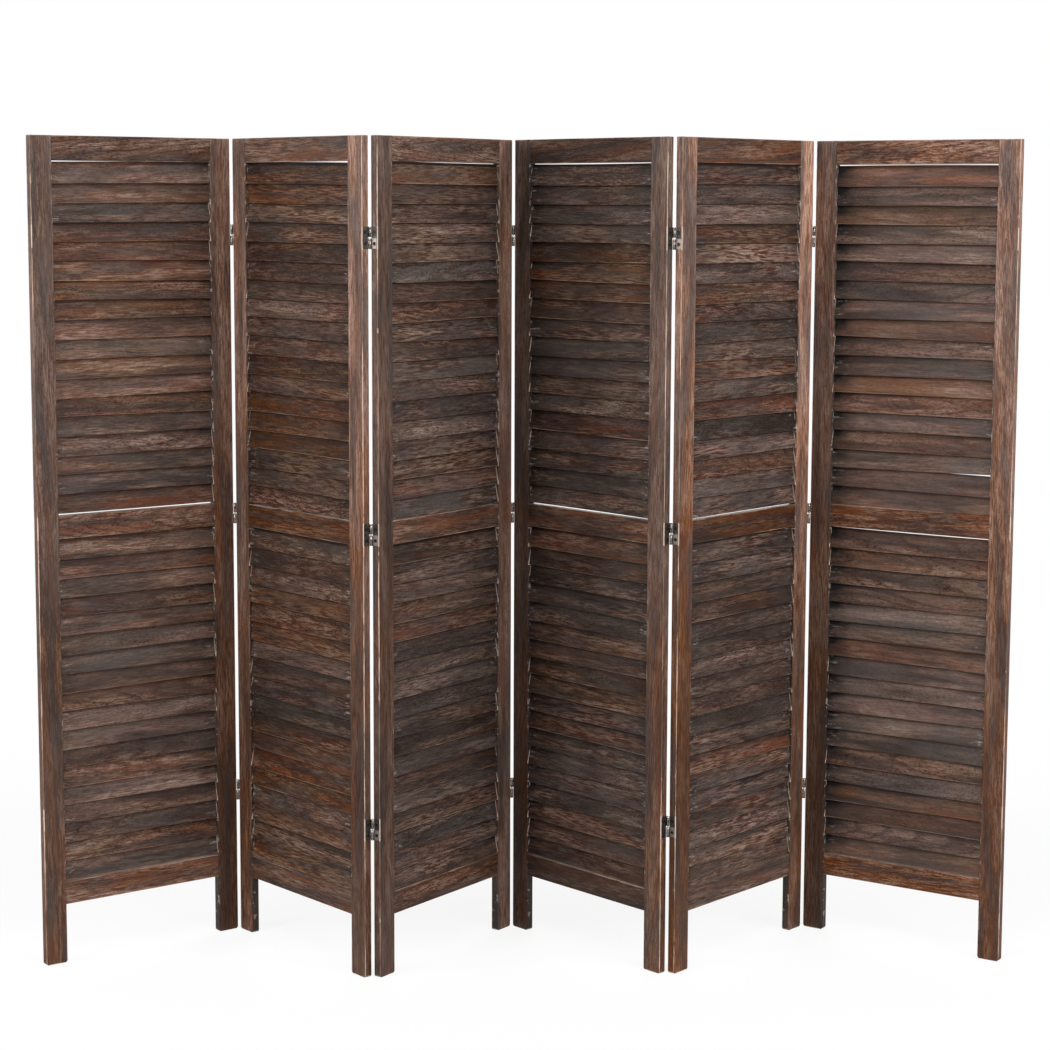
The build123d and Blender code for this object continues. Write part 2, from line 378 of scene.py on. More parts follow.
# Rails. A top, a middle and a bottom rail in each panel, tenoned into the stiles, from the same
# scorched wood with its grain running across the screen.
rail_half_thickness = 0.0075
rail_names = ("top", "middle", "bottom")
rail_stains = {  # top, middle and bottom rail: tone and richness
    1: ((0.94, 1.08), (1.13, 1.17), (1.08, 1.20)),
    2: ((0.92, 1.08), (0.57, 1.52), (0.60, 1.22)),
    3: ((1.22, 0.99), (0.73, 1.17), (0.69, 1.32)),
    4: ((0.49, 1.24), (0.66, 1.23), (0.31, 1.27)),
    5: ((0.75, 1.24), (0.51, 1.42), (0.66, 1.06)),
    6: ((1.38, 1.22), (1.08, 1.36), (1.09, 1.42)),
}
first_rail_seed = 40.0
for number, stains in rail_stains.items():
    for order, (rail_name, (tone, richness)) in enumerate(zip(rail_names, stains)):
        low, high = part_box(f"panel_{number}_{rail_name}_rail")
        wood = new_finish(f"rail_wood_{number}_{rail_name}")
        tree = wood.node_tree
        place = panel_place(tree, number)
        across = minus(tree, place[2], (low.z + high.z) / 2)
        board = vector(tree, place[0], across, place[1])
        to_edge = minus(tree, (high.z - low.z) / 2, unsigned(tree, across))
        to_face = minus(tree, rail_half_thickness, unsigned(tree, place[1]))
        stain_wood(wood, board, larger(tree, to_edge, to_face), seed=first_rail_seed + number * 3 + order,
                   tone=tone, richness=richness, shade=0.06, warmth=0.55, smoke_share=0.20, figure=0.95)
        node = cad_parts[f"panel_{number}_{rail_name}_rail"]
        node.material_slots[0].material = wood

# Slats. Eighteen thin boards above and below each middle rail, housed in the stiles with their
# lower edges forward. They are planed roughly, so each one is bowed and skewed a little, and the
# stain took on each in its own way.
slat_length = 0.379
slat_thickness = 0.005
slat_arris = 0.0011
slat_bow = 0.0012
slat_skew = radians(1.3)
slat_twist = 0.050
slat_slip = 0.0022
row_slits = {  # how far up the end slats sit: top slat left and right, bottom slat left and right
    (1, "upper"): (-0.0017, 0.0015, 0.0015, 0.0015),
    (2, "upper"): (0.0009, -0.0026, -0.0007, -0.0003),
    (3, "upper"): (0.0013, -0.0005, -0.0007, -0.0009),
    (4, "upper"): (-0.0005, -0.0007, 0.0006, 0.0004),
    (5, "upper"): (0.0017, 0.0017, 0.0006, 0.0006),
    (6, "upper"): (-0.0015, -0.0015, -0.0017, -0.0017),
    (1, "lower"): (0.0009, 0.0009, 0.0009, -0.0003),
    (2, "lower"): (0.0009, 0.0009, -0.0007, -0.0007),
    (3, "lower"): (0.0011, 0.0011, -0.0011, -0.0011),
    (4, "lower"): (0.0011, 0.0011, -0.0011, -0.0011),
    (5, "lower"): (0.0011, 0.0011, -0.0011, -0.0011),
    (6, "lower"): (-0.0008, -0.0020, -0.0009, -0.0009),
}
parted_slat = 2  # counted from the bottom one, which is 0
row_partings = {(6, "upper"): 0.0068}  # how far that slat and the one below it stand apart at the right
slat_looks = {  # in panels 1 to 6
    "smoke": (0.48, 0.32, 0.54, 0.48, 0.54, 0.42),
    "warmth": (0.60, 0.56, 0.45, 0.45, 0.46, 0.58),
    "richness": (1.07, 1.35, 1.01, 1.16, 1.14, 1.00),
    "contrast": (0.95, 1.45, 1.40, 1.40, 1.50, 0.52),
    "variety": (0.36, 0.50, 0.56, 0.48, 0.68, 0.44),
    "lap shadow": (0.74, 0.16, 0.15, 0.34, 0.22, 0.70),
    "left end grime and shade": (0.4, 0.0, 0.2, 1.1, 0.8, 2.2),
    "right end grime and shade": (1.0, 0.8, 0.9, 1.0, 0.9, 0.3),
    "upper tone": (1.10, 0.64, 0.77, 0.56, 0.72, 0.94),
    "lower tone": (0.97, 0.53, 0.55, 0.55, 0.70, 0.86),
}


def begin_tree(name, inputs, output):
    """Starts a Geometry Nodes tree. Gives the tree, its inputs' identifiers and its inputs."""
    tree = bpy.data.node_groups.new(name, "GeometryNodeTree")
    identifiers = {}
    for kind, socket_names in inputs.items():
        for socket_name in socket_names:
            socket = tree.interface.new_socket(socket_name, in_out="INPUT", socket_type=f"NodeSocket{kind}")
            identifiers[socket_name] = socket.identifier
    tree.interface.new_socket(output, in_out="OUTPUT", socket_type="NodeSocketGeometry")
    return tree, identifiers, put(tree, "NodeGroupInput").outputs


row_tree, row_sockets, row_given = begin_tree(
    "slat_row",
    {
        "Int": ("Count", "Parted Slat", "Seed"),
        "Float": ("Pitch", "Lean", "Length", "Width", "Thickness", "Arris", "Middle", "Bow", "Skew", "Twist",
                  "Slip", "Top Left", "Top Right", "Bottom Left", "Bottom Right", "Parting"),
        "Material": ("Wood",),
    },
    "Slats",
)
# One slat: its rounded section swept along a straight line of five points.
half_length = times(row_tree, row_given["Length"], 0.5)
left_end = vector(row_tree, times(row_tree, half_length, -1.0))
right_end = vector(row_tree, half_length)
line = put(row_tree, "GeometryNodeCurvePrimitiveLine", {"Start": left_end, "End": right_end})
path = put(row_tree, "GeometryNodeResampleCurve", {"Curve": line.outputs[0], "Count": 5})
section_size = {"Width": row_given["Thickness"], "Height": row_given["Width"]}
section = put(row_tree, "GeometryNodeCurvePrimitiveQuadrilateral", section_size)
easing = {"Curve": section.outputs[0], "Radius": row_given["Arris"], "Count": 2}
eased = put(row_tree, "GeometryNodeFilletCurve", easing, mode="POLY")
sweep = {"Curve": path.outputs[0], "Profile Curve": eased.outputs[0], "Fill Caps": True}
slat = put(row_tree, "GeometryNodeCurveToMesh", sweep)
in_place = {"Geometry": slat.outputs[0], "Name": "slat_place",
            "Value": put(row_tree, "GeometryNodeInputPosition").outputs[0]}
marked = put(row_tree, "GeometryNodeStoreNamedAttribute", in_place, data_type="FLOAT_VECTOR", domain="POINT")
# The row: one point for each slat, from the lowest up.
last = minus(row_tree, row_given["Count"], 1)
half_row = times(row_tree, row_given["Pitch"], times(row_tree, last, 0.5))
lowest = minus(row_tree, row_given["Middle"], half_row)
row_line = {"Count": row_given["Count"], "Start Location": vector(row_tree, z=lowest),
            "Offset": vector(row_tree, z=row_given["Pitch"])}
points = put(row_tree, "GeometryNodeMeshLine", row_line)
order = put(row_tree, "GeometryNodeInputIndex").outputs[0]


def chance_per_slat(low, high, draw, place=order):
    """A chance value for each slat. Every kind of chance has a draw of its own."""
    seed = plus(row_tree, row_given["Seed"], draw)
    return put(row_tree, "FunctionNodeRandomValue", {2: low, 3: high, 7: place, 8: seed}).outputs[1]


def end_shift(side, place):
    """How far up one end of a slat sits. The shift of an end slat is shared out over the next four."""
    top_share = scaled(row_tree, minus(row_tree, last, place), -0.25, 1.0, clamp=True)
    bottom_share = scaled(row_tree, place, -0.25, 1.0, clamp=True)
    slip = times(row_tree, chance_per_slat(-1.0, 1.0, 3 if side == "Left" else 5, place), row_given["Slip"])
    loose = minus(row_tree, 1.0, larger(row_tree, top_share, bottom_share))
    lower_shift = scaled(row_tree, row_given[f"Bottom {side}"], bottom_share, times(row_tree, slip, loose))
    shift = scaled(row_tree, row_given[f"Top {side}"], top_share, lower_shift)
    if side == "Left":
        return shift
    # At the right-hand end one slat may stand up and the one below it hang, so that light shows between.
    pair = (row_given["Parted Slat"], minus(row_tree, row_given["Parted Slat"], 1))
    stands, hangs = [reckon("COMPARE", row_tree, place, member, 0.5) for member in pair]
    parted = times(row_tree, minus(row_tree, stands, hangs), 0.5)
    return scaled(row_tree, row_given["Parting"], parted, shift)


left_up = end_shift("Left", order)
right_up = end_shift("Right", order)
tip = divided(row_tree, minus(row_tree, left_up, right_up), row_given["Length"])
raised = times(row_tree, plus(row_tree, left_up, right_up), 0.5)
skewed = times(row_tree, chance_per_slat(-1.0, 1.0, 7), row_given["Skew"])
lay = vector(row_tree, minus(row_tree, skewed, row_given["Lean"]), tip)
laying = {"Points": points.outputs[0], "Instance": marked.outputs[0], "Rotation": lay}
laid = put(row_tree, "GeometryNodeInstanceOnPoints", laying)
lifting = {"Instances": laid.outputs[0], "Local Space": False, "Translation": vector(row_tree, z=raised)}
housed = put(row_tree, "GeometryNodeTranslateInstances", lifting).outputs[0]
# Each slat keeps its own chances, and how far the next one up is shifted against it.
next_up = plus(row_tree, order, 1)
own_bow = chance_per_slat(-1.0, 1.0, 17)
bow_apart = minus(row_tree, chance_per_slat(-1.0, 1.0, 17, next_up), own_bow)
slat_marks = {
    "slat_seed": chance_per_slat(0.0, 900.0, 11),
    "slat_tone": chance_per_slat(0.0, 1.0, 13),
    "slat_bow": own_bow,
    "slat_twist": chance_per_slat(-1.0, 1.0, 19),
    "slat_mood": chance_per_slat(0.0, 1.0, 23),
    "left_lap": minus(row_tree, end_shift("Left", next_up), left_up),
    "right_lap": minus(row_tree, end_shift("Right", next_up), right_up),
    "lap_bow": times(row_tree, row_given["Bow"], bow_apart),
}
for mark, value in slat_marks.items():
    marking = {"Geometry": housed, "Name": mark, "Value": value}
    housed = put(row_tree, "GeometryNodeStoreNamedAttribute", marking,
                 data_type="FLOAT", domain="INSTANCE").outputs[0]
single = put(row_tree, "GeometryNodeRealizeInstances", {"Geometry": housed})


def from_slat(name, kind="FLOAT"):
    return put(row_tree, "GeometryNodeInputNamedAttribute", {"Name": name}, data_type=kind).outputs[0]


# Each slat bows between its housings, up or down and a little in or out, and winds from end to end.
in_slat = along_axes(row_tree, from_slat("slat_place", "FLOAT_VECTOR"))
share = divided(row_tree, in_slat[0], half_length)
swell = minus(row_tree, 1.0, times(row_tree, share, share))
bowed = times(row_tree, swell, times(row_tree, row_given["Bow"], from_slat("slat_bow")))
winding = times(row_tree, row_given["Twist"], from_slat("slat_twist"))
wound = times(row_tree, times(row_tree, share, in_slat[2]), winding)
warp = vector(row_tree, y=scaled(row_tree, bowed, -0.5, wound), z=bowed)
warped = put(row_tree, "GeometryNodeSetPosition", {"Geometry": single.outputs[0], "Offset": warp})
staining = {"Geometry": warped.outputs[0], "Material": row_given["Wood"]}
stained = put(row_tree, "GeometryNodeSetMaterial", staining)
put(row_tree, "NodeGroupOutput", {"Slats": stained.outputs[0]})


def named(tree, name, kind="Fac"):
    return put(tree, "ShaderNodeAttribute", attribute_name=name).outputs[kind]


def panel_matrix(number):
    x, y, turn = panel_stands[number]
    return Matrix.Translation((x, y, 0)) @ Matrix.Rotation(radians(turn), 4, "Z")


def run_tree(tree, sockets, values, start, piece_name, number):
    """Runs a tree on a mesh, and gives a plain mesh that stands in its panel, on an object at the origin."""
    source = bpy.data.objects.new(start.name, start)
    bpy.context.scene.collection.objects.link(source)
    modifier = source.modifiers.new(tree.name, "NODES")
    modifier.node_group = tree
    for name, value in values.items():
        modifier[sockets[name]] = value
    evaluated = source.evaluated_get(bpy.context.evaluated_depsgraph_get())
    mesh = bpy.data.meshes.new_from_object(evaluated)
    bpy.data.objects.remove(source)
    mesh.name = piece_name
    mesh.transform(panel_matrix(number))
    piece = bpy.data.objects.new(piece_name, mesh)
    bpy.context.scene.collection.objects.link(piece)
    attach(piece, f"panel_{number}")
    return piece


for number in panel_stands:
    look = {name: by_panel[number - 1] for name, by_panel in slat_looks.items()}
    wood = new_finish(f"slat_wood_{number}")
    tree = wood.node_tree
    place = along_axes(tree, named(tree, "slat_place", "Vector"))
    board = vector(tree, place[0], place[2], place[1])
    to_edge = minus(tree, slat_width / 2, unsigned(tree, place[2]))
    to_face = minus(tree, slat_thickness / 2, unsigned(tree, place[1]))
    from_middle = unsigned(tree, place[0])
    rise = panel_place(tree, number)[2]
    mood = named(tree, "slat_mood")
    row_tone = spread(tree, rise, slat_rows["lower"], slat_rows["upper"],
                      look["lower tone"], look["upper tone"])
    variety = scaled(tree, named(tree, "slat_tone"), look["variety"], 1 - look["variety"] / 2)
    toward_end = spread(tree, from_middle, 0.11, 0.17, 0.0, 0.45)
    own_warmth = times(tree, plus(tree, reckon("POWER", tree, mood, 2.0), toward_end), look["warmth"] * 1.2)
    moved = set_apart(tree, board, board_draw(tree, named(tree, "slat_seed")), (20, 20, 20))
    # A painted shadow lies on each slat right under the lower edge of the next one up: a dark line there, and
    # a broad darkening that lifts towards the slat's own lower edge. The line is broader in the lower row.
    along = divided(tree, place[0], slat_length / 2)
    to_right = scaled(tree, along, 0.5, 0.5)
    left_lap = named(tree, "left_lap")
    straight = scaled(tree, minus(tree, named(tree, "right_lap"), left_lap), to_right, left_lap)
    swelling = scaled(tree, times(tree, along, along), -1.0, 1.0)
    lap = scaled(tree, named(tree, "lap_bow"), swelling, straight)
    lap_edge = plus(tree, lap, slat_pitch / cos(slat_lean) - slat_width / 2)
    under_lap = minus(tree, lap_edge, place[2])
    broader = spread(tree, rise, slat_rows["lower"], slat_rows["upper"], 0.0014, 0.0)
    painted_lap_shadow = times(tree, spread(tree, minus(tree, under_lap, broader), 0.0012, 0.0030, look["lap shadow"], 1.0),
                  spread(tree, under_lap, 0.001, 0.024, 0.94, 1.04))
    # Darker again at the ends, beside the stiles: partly grime and partly painted shade from the stiles and
    # the next panel, more at one end than the other on some panels, and more just under the lap.
    drifted = scaled(tree, cloud(tree, moved, (30, 60, 60), 2.0), 0.06, from_middle)
    at_end = times(tree, spread(tree, drifted, 0.150, 0.222),
                   spread(tree, along, -0.2, 0.2, look["left end grime and shade"], look["right end grime and shade"]))
    end_grime_and_shade = times(tree, at_end, spread(tree, under_lap, 0.004, 0.030, 0.62, 0.26), clamp=True)
    painted_shade_and_end_grime = times(tree, minus(tree, 1.0, end_grime_and_shade), painted_lap_shadow)
    by_mood = spread(tree, mood, 0.05, 0.95, look["richness"] * 0.88, look["richness"] * 1.12)
    # Colour is painted richer in the painted shadow under the lap.
    own_richness = times(tree, by_mood, spread(tree, under_lap, 0.001, 0.008, 1.20, 1.0))
    # Near the housings some slats are scuffed with chalky marks.
    chalked = spread(tree, cloud(tree, moved, (38, 170, 170), 3.0, 0.7), 0.57, 0.70)
    chalky = times(tree, times(tree, chalked, spread(tree, mood, 0.45, 0.75, 0.6, 0.0)),
                   spread(tree, from_middle, 0.135, 0.182))
    stain_wood(wood, board, larger(tree, to_edge, to_face), seed=named(tree, "slat_seed"),
               tone=times(tree, times(tree, row_tone, variety), painted_shade_and_end_grime), richness=own_richness,
               shade=scaled(tree, named(tree, "slat_tone"), 0.20, -0.12), warmth=own_warmth,
               smoke_share=times(tree, minus(tree, 1.35, mood), look["smoke"]), figure=1.0,
               hue=spread(tree, cloud(tree, moved, (2.2, 15, 15), 2.0), 0.30, 0.70, 0.487, 0.503),
               contrast=look["contrast"], wear=spread(tree, mood, 0.35, 0.95, 0.02, 0.35), scuffs=chalky,
               heart=0.09, spacing=0.0076, arris=0.0028)
    for row, (row_name, middle) in enumerate(slat_rows.items()):
        top_left, top_right, bottom_left, bottom_right = row_slits[number, row_name]
        row_values = {
            "Count": slat_count, "Pitch": slat_pitch, "Lean": slat_lean, "Middle": middle,
            "Length": slat_length, "Width": slat_width, "Thickness": slat_thickness, "Arris": slat_arris,
            "Bow": slat_bow, "Skew": slat_skew, "Twist": slat_twist, "Slip": slat_slip,
            "Top Left": top_left, "Top Right": top_right,
            "Bottom Left": bottom_left, "Bottom Right": bottom_right,
            "Parted Slat": parted_slat, "Parting": row_partings.get((number, row_name), 0.0),
            "Seed": 100 * number + 40 * row, "Wood": wood,
        }
        piece_name = f"panel_{number}_{row_name}_louvre"
        start = bpy.data.meshes.new("slat_row_start")
        piece = run_tree(row_tree, row_sockets, row_values, start, piece_name, number)
        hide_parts(f"panel_{number}_{row_name}_slats")

# Hinge leaves. Stamped steel plates, blackened, each with a knuckle rolled from its own edge and
# two holes for screws. They sit on the stiles' outer edges, with three hinges to each fold.
hinge_half_height = 0.022
hinge_axis = (0.233, -0.0089)  # across the panel and in depth
knuckle_length = 0.0205
knuckle_radius = 0.0030
knuckle_ease = 0.00025
pin_radius = 0.0016
leaf_thickness = 0.0012
leaf_far_edge = 0.0065
leaf_cut_back = 0.0035
leaf_corner = 0.0022
leaf_ease = 0.0002
hole_radius = 0.0019
screw_depth = 0.0008  # behind the middle of the stile's edge
screw_offsets = (-0.0115, 0.0115)
deep_black = (0.010, 0.009, 0.008, 1)
worn_black = (0.042, 0.036, 0.031, 1)
bare_steel = (0.60, 0.50, 0.455, 1)


def arc(x, y, radius, start, stop, segments):
    angles = [start + (stop - start) * step / segments for step in range(segments + 1)]
    return [(x + radius * cos(angle), y + radius * sin(angle)) for angle in angles]


def circle(x, y, radius, segments):
    return arc(x, y, radius, 0, 2 * pi, segments)[:-1]


def flat_piece(outlines, depth, ease):
    """A flat shape with its holes, given a thickness and an eased edge, as a mesh about its middle."""
    curve = bpy.data.curves.new("flat_piece", "CURVE")
    curve.dimensions = "2D"
    curve.fill_mode = "BOTH"
    curve.extrude = depth / 2 - ease
    curve.bevel_depth = ease
    curve.bevel_resolution = 0
    curve.offset = -ease
    for outline in outlines:
        spline = curve.splines.new("POLY")
        spline.points.add(len(outline) - 1)
        for point, (x, y) in zip(spline.points, outline):
            point.co = (x, y, 0, 1)
        spline.use_cyclic_u = True
    holder = bpy.data.objects.new("flat_piece", curve)
    bpy.context.scene.collection.objects.link(holder)
    mesh = bpy.data.meshes.new_from_object(holder.evaluated_get(bpy.context.evaluated_depsgraph_get()))
    bpy.data.objects.remove(holder)
    return mesh


def leaf_mesh(side, knuckle_on_top):
    """One leaf about its hinge's middle height, on the edge that side names: 1 is right, -1 left."""
    up = 1 if knuckle_on_top else -1
    axis_x, near = hinge_axis
    head = up * hinge_half_height
    split = up * (hinge_half_height - knuckle_length)
    corner_depth = leaf_far_edge - leaf_corner
    corner_rise = up * (hinge_half_height - leaf_corner)
    # Seen from the side: along the plate's depth and up, with its far corners rounded.
    plate = [(near, split), (near, head)]
    plate += arc(corner_depth, corner_rise, leaf_corner, up * pi / 2, 0, 5)
    plate += arc(corner_depth, -corner_rise, leaf_corner, 0, -up * pi / 2, 5)
    plate += [(near + leaf_cut_back, -head), (near + leaf_cut_back, split)]
    holes = [circle(screw_depth, rise, hole_radius, 16) for rise in screw_offsets]
    sheet = flat_piece([plate, *holes], leaf_thickness, leaf_ease)
    # The flat's x goes to depth, its y up, and its thickness across, beside the panel's edge.
    across = panel_edge + leaf_thickness / 2
    sheet.transform(Matrix(((0, 0, 1, across), (1, 0, 0, 0), (0, 1, 0, 0), (0, 0, 0, 1))))
    # Seen from above: the rolled edge goes round from the plate's back to its front.
    roll_end = pi / 2 + asin(1 - leaf_thickness / knuckle_radius)
    rolled_edge = arc(axis_x, near, knuckle_radius, -pi, roll_end, 24)
    rolled_edge.append((panel_edge + leaf_thickness, near))
    bore = circle(axis_x, near, pin_radius, 24)
    roll = flat_piece([rolled_edge, bore], knuckle_length, knuckle_ease)
    roll.transform(Matrix.Translation((0, 0, up * (hinge_half_height - knuckle_length / 2))))
    shape = bmesh.new()
    for mesh, bare in ((sheet, 0.0), (roll, 1.0)):
        rolled = mesh.attributes.new("rolled", "FLOAT", "POINT")
        rolled.data.foreach_set("value", [bare] * len(mesh.vertices))
        shape.from_mesh(mesh)
    if side < 0:
        bmesh.ops.scale(shape, vec=(-1, 1, 1), verts=shape.verts)
        bmesh.ops.reverse_faces(shape, faces=shape.faces)
    return shape


def blacken(name, rubbed_bare):
    """Blackened steel, bare where it was rolled, and rubbed a little over the lower half of some leaves."""
    metal = new_finish(name)
    tree = metal.node_tree
    place = put(tree, "ShaderNodeTexCoord").outputs["Object"]
    rise = along_axes(tree, place)[2]
    mottle = cloud(tree, place, (320, 320, 320), 4.0, 0.6)
    scuffed = spread(tree, cloud(tree, place, (900, 900, 140), 3.0, 0.7), 0.55, 0.72)
    turned_bare = times(tree, named(tree, "rolled"), spread(tree, mottle, 0.40, 0.62, 0.06, 0.42))
    bare = larger(tree, turned_bare, times(tree, scuffed, 0.12))
    for hinge_height in hinge_heights:
        from_middle = unsigned(tree, minus(tree, rise, hinge_height - hinge_half_height / 2))
        ragged = scaled(tree, mottle, 0.004, from_middle)
        bare = larger(tree, bare, spread(tree, ragged, 0.0115, 0.0135, rubbed_bare, 0.0))
    patina = blend(tree, spread(tree, mottle, 0.35, 0.68), deep_black, worn_black)
    rough = scaled(tree, named(tree, "rolled"), -0.22, spread(tree, mottle, 0.3, 0.7, 0.34, 0.52))
    relief = put(tree, "ShaderNodeBump", {"Strength": 0.25, "Distance": 0.0003, "Height": mottle})
    shader = tree.nodes["Principled BSDF"]
    shader.inputs["Metallic"].default_value = 0.85
    tree.links.new(blend(tree, bare, patina, bare_steel), shader.inputs["Base Color"])
    tree.links.new(rough, shader.inputs["Roughness"])
    tree.links.new(relief.outputs[0], shader.inputs["Normal"])
    return metal


def gather(piece_name, number, source, places, finish):
    """Copies one shape to several places in a panel, as a single mesh at the origin."""
    gathered = bmesh.new()
    for place in places:
        copy = source.copy()
        copy.transform(panel_matrix(number) @ place)
        part = bpy.data.meshes.new("part")
        copy.to_mesh(part)
        gathered.from_mesh(part)
        copy.free()
        bpy.data.meshes.remove(part)
    mesh = bpy.data.meshes.new(piece_name)
    gathered.to_mesh(mesh)
    gathered.free()
    mesh.materials.append(finish)
    piece = bpy.data.objects.new(piece_name, mesh)
    bpy.context.scene.collection.objects.link(piece)
    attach(piece, f"panel_{number}")
    return piece


socket_metal = blacken("blackened_steel", 0.0)
pin_metal = blacken("rubbed_steel", 0.22)
half_turn = Matrix.Rotation(pi, 4, "Z")
hinge_places = {}  # unturned for the fold that closes in front, and half round for the one behind
for number in panel_stands:
    turns = [Matrix.Identity(4)]
    if 1 < number < len(panel_stands):
        turns.append(half_turn)
    lifts = [Matrix.Translation((0, 0, hinge_height)) for hinge_height in hinge_heights]
    hinge_places[number] = [turn @ lift for turn in turns for lift in lifts]
for number, places in hinge_places.items():
    odd = number % 2 == 1
    shape = leaf_mesh(1 if odd else -1, not odd)
    leaves = gather(f"panel_{number}_leaves", number, shape, places, pin_metal if odd else socket_metal)
    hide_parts(f"panel_{number}_hinge_leaves")
    shape.free()

# Hinge pins. Bright steel rods, riveted into the lower knuckles, with a rounded tip that the
# upper knuckle drops over. Only the short length between the knuckles shows.
pin_length = 0.042
pin_foot = -hinge_half_height
pin_tip = pin_foot + pin_length
pin_profile = (  # radius and height of each ring
    (0.00125, pin_foot),
    (pin_radius, pin_foot + 0.0004),
    (pin_radius, pin_tip - 0.0011),
    (0.0012, pin_tip - 0.0004),
    (0.0005, pin_tip),
)
drawn_dark = (0.42, 0.40, 0.38, 1)
drawn_bright = (0.66, 0.64, 0.61, 1)
bright = new_finish("pin_steel")
tree = bright.node_tree
drawn = cloud(tree, put(tree, "ShaderNodeTexCoord").outputs["Object"], (1500, 1500, 90), 2.0)
shader = tree.nodes["Principled BSDF"]
shader.inputs["Metallic"].default_value = 1.0
tree.links.new(blend(tree, drawn, drawn_dark, drawn_bright), shader.inputs["Base Color"])
tree.links.new(spread(tree, drawn, 0.3, 0.7, 0.22, 0.40), shader.inputs["Roughness"])


def turned_skin(shape, profile, centre, segments, smooth):
    """Adds the skin of a turned piece, closed at its foot, and gives its rings from the foot up."""
    rings = []
    for radius, rise in profile:
        rings.append([shape.verts.new((x, y, rise)) for x, y in circle(*centre, radius, segments)])
    for lower, upper in zip(rings, rings[1:]):
        for step in range(segments):
            after = (step + 1) % segments
            face = shape.faces.new((lower[step], lower[after], upper[after], upper[step]))
            face.smooth = smooth
    shape.faces.new(reversed(rings[0]))
    return rings


pin = bmesh.new()
pin_rings = turned_skin(pin, pin_profile, hinge_axis, 16, smooth=True)
pin.faces.new(pin_rings[-1])
for number in (1, 3, 5):
    pins = gather(f"panel_{number}_pins", number, pin, hinge_places[number], bright)
    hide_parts(f"panel_{number}_hinge_pins")
pin.free()

# Hinge screws. Two to a leaf, with low round heads and a cross slot, driven by hand so that no two
# slots point the same way. They are blacked like the leaves.
screw_radius = 0.0036
screw_rise = 0.0012
screw_sink = 0.0001
screw_profile = (  # radius and height of each ring
    (screw_radius, 0.0),
    (screw_radius, 0.0003),
    (screw_radius * 0.86, 0.00085),
    (screw_radius * 0.68, screw_rise),
)
slot_half_width = 0.00045
slot_reach = 0.0021
slot_depth = 0.0007
slot_taper = 0.9
screw_black = (0.008, 0.007, 0.006, 1)
screw_bloom = (0.034, 0.030, 0.027, 1)

screw = bmesh.new()
rim = turned_skin(screw, screw_profile, (0.0, 0.0), 20, smooth=False)[-1]
arm = [(slot_reach, -slot_half_width), (slot_reach, slot_half_width), (slot_half_width, slot_half_width)]
cross = []
for quarter in range(4):
    cross += arm
    arm = [(-y, x) for x, y in arm]
lip = [screw.verts.new((x, y, screw_rise)) for x, y in cross]
bed = [screw.verts.new((x * slot_taper, y * slot_taper, screw_rise - slot_depth)) for x, y in cross]
edges = [screw.edges.get((start, stop)) for start, stop in zip(rim, rim[1:] + rim[:1])]
edges += [screw.edges.new((start, stop)) for start, stop in zip(lip, lip[1:] + lip[:1])]
bmesh.ops.triangle_fill(screw, use_beauty=True, use_dissolve=False, edges=edges, normal=(0, 0, 1))
for step in range(len(cross)):
    after = (step + 1) % len(cross)
    screw.faces.new((lip[step], lip[after], bed[after], bed[step]))
screw.faces.new(bed)
bmesh.ops.recalc_face_normals(screw, faces=screw.faces)
screw_form = bpy.data.meshes.new("screw_form")
screw.to_mesh(screw_form)
screw.free()

blacked = new_finish("blacked_screw")
tree = blacked.node_tree
bloom = cloud(tree, put(tree, "ShaderNodeTexCoord").outputs["Object"], (700, 700, 700), 3.0)
black = blend(tree, spread(tree, bloom, 0.35, 0.7), screw_black, screw_bloom)
shader = tree.nodes["Principled BSDF"]
shader.inputs["Metallic"].default_value = 1.0
tree.links.new(black, shader.inputs["Base Color"])
tree.links.new(spread(tree, bloom, 0.3, 0.7, 0.28, 0.48), shader.inputs["Roughness"])

screw_tree, screw_sockets, screw_given = begin_tree(
    "hinge_screws",
    {"Geometry": ("Places",), "Object": ("Screw",), "Int": ("Seed",), "Material": ("Black",)},
    "Screws",
)
form = put(screw_tree, "GeometryNodeObjectInfo", {"Object": screw_given["Screw"]}).outputs["Geometry"]
way_out = put(screw_tree, "GeometryNodeInputNamedAttribute", {"Name": "way_out"}, data_type="FLOAT_VECTOR")
faced = put(screw_tree, "FunctionNodeAlignRotationToVector", {"Vector": way_out.outputs[0]}, axis="Z")
chance_turn = put(screw_tree, "FunctionNodeRandomValue", {2: 0.0, 3: pi, 8: screw_given["Seed"]}).outputs[1]
driven = put(screw_tree, "FunctionNodeAxisAngleToRotation", {0: (0, 0, 1), 1: chance_turn})
set_turn = put(screw_tree, "FunctionNodeRotateRotation", {0: faced.outputs[0], 1: driven.outputs[0]},
               rotation_space="LOCAL")
setting = {"Points": screw_given["Places"], "Instance": form, "Rotation": set_turn.outputs[0]}
set_in = put(screw_tree, "GeometryNodeInstanceOnPoints", setting)
single = put(screw_tree, "GeometryNodeRealizeInstances", {"Geometry": set_in.outputs[0]})
blacking = {"Geometry": single.outputs[0], "Material": screw_given["Black"]}
finished = put(screw_tree, "GeometryNodeSetMaterial", blacking)
put(screw_tree, "NodeGroupOutput", {"Screws": finished.outputs[0]})

